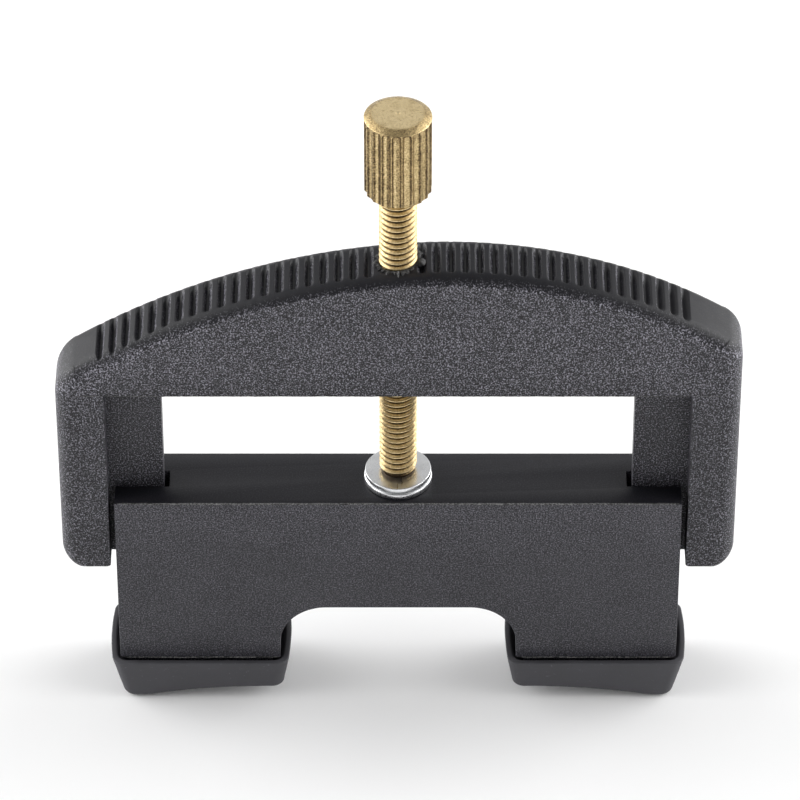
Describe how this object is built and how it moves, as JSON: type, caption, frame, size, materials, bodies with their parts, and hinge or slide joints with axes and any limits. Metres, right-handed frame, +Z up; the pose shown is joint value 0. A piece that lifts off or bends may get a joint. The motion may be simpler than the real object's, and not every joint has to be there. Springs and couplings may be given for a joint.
{
  "type": "string lifter",
  "caption": "Jack that lifts a violin's strings off the bridge: a ribbed yoke guided on a footed cross block and raised by a knurled brass thumbscrew.",
  "frame": {"origin": "on the screw's axis, midway between the front and back faces, level with the lowest edges of the soles", "axes": "+Z up along the screw towards its head, +X across the yoke to the right foot, +Y towards the back"},
  "size_m": [0.0716, 0.0104, 0.0753],
  "materials": {
    "yoke_plastic": "black moulded plastic with a fine sparked texture, smoother on the ribs",
    "block_plastic": "black moulded plastic, grained on the faces and smooth on top",
    "foot_rubber": "soft black rubber, dull and slightly dusty",
    "head_brass": "turned and knurled brass, lightly tarnished",
    "stud_brass": "bright cut brass thread",
    "zinc_plate": "bright zinc plate",
    "clip_steel": "oiled spring steel"
  },
  "bodies": {
    "base": {"slide_block": "block_plastic", "foot_cap_left": "foot_rubber", "foot_cap_right": "foot_rubber", "thrust_washer_lower": "zinc_plate"},
    "thumbscrew": {"thumbscrew_head": "head_brass", "thumbscrew_stud": "stud_brass", "thrust_washer_upper": "zinc_plate", "retaining_clip": "clip_steel"},
    "yoke": {"yoke": "yoke_plastic"}
  },
  "joints": [
    {"name": "screw_turn", "type": "hinge", "parent": "base", "child": "thumbscrew", "pos_m": [0, 0, 0.0286], "axis": [0, 0, 1], "range_deg": [-4115, 6172]},
    {"name": "yoke_lift", "type": "slide", "parent": "base", "child": "yoke", "axis": [0, 0, 1], "range_m": [-0.012, 0.008]}
  ],
  "couplings": [
    {"joint": "screw_turn", "follows": "yoke_lift", "rad_per_m": -8976}
  ]
}
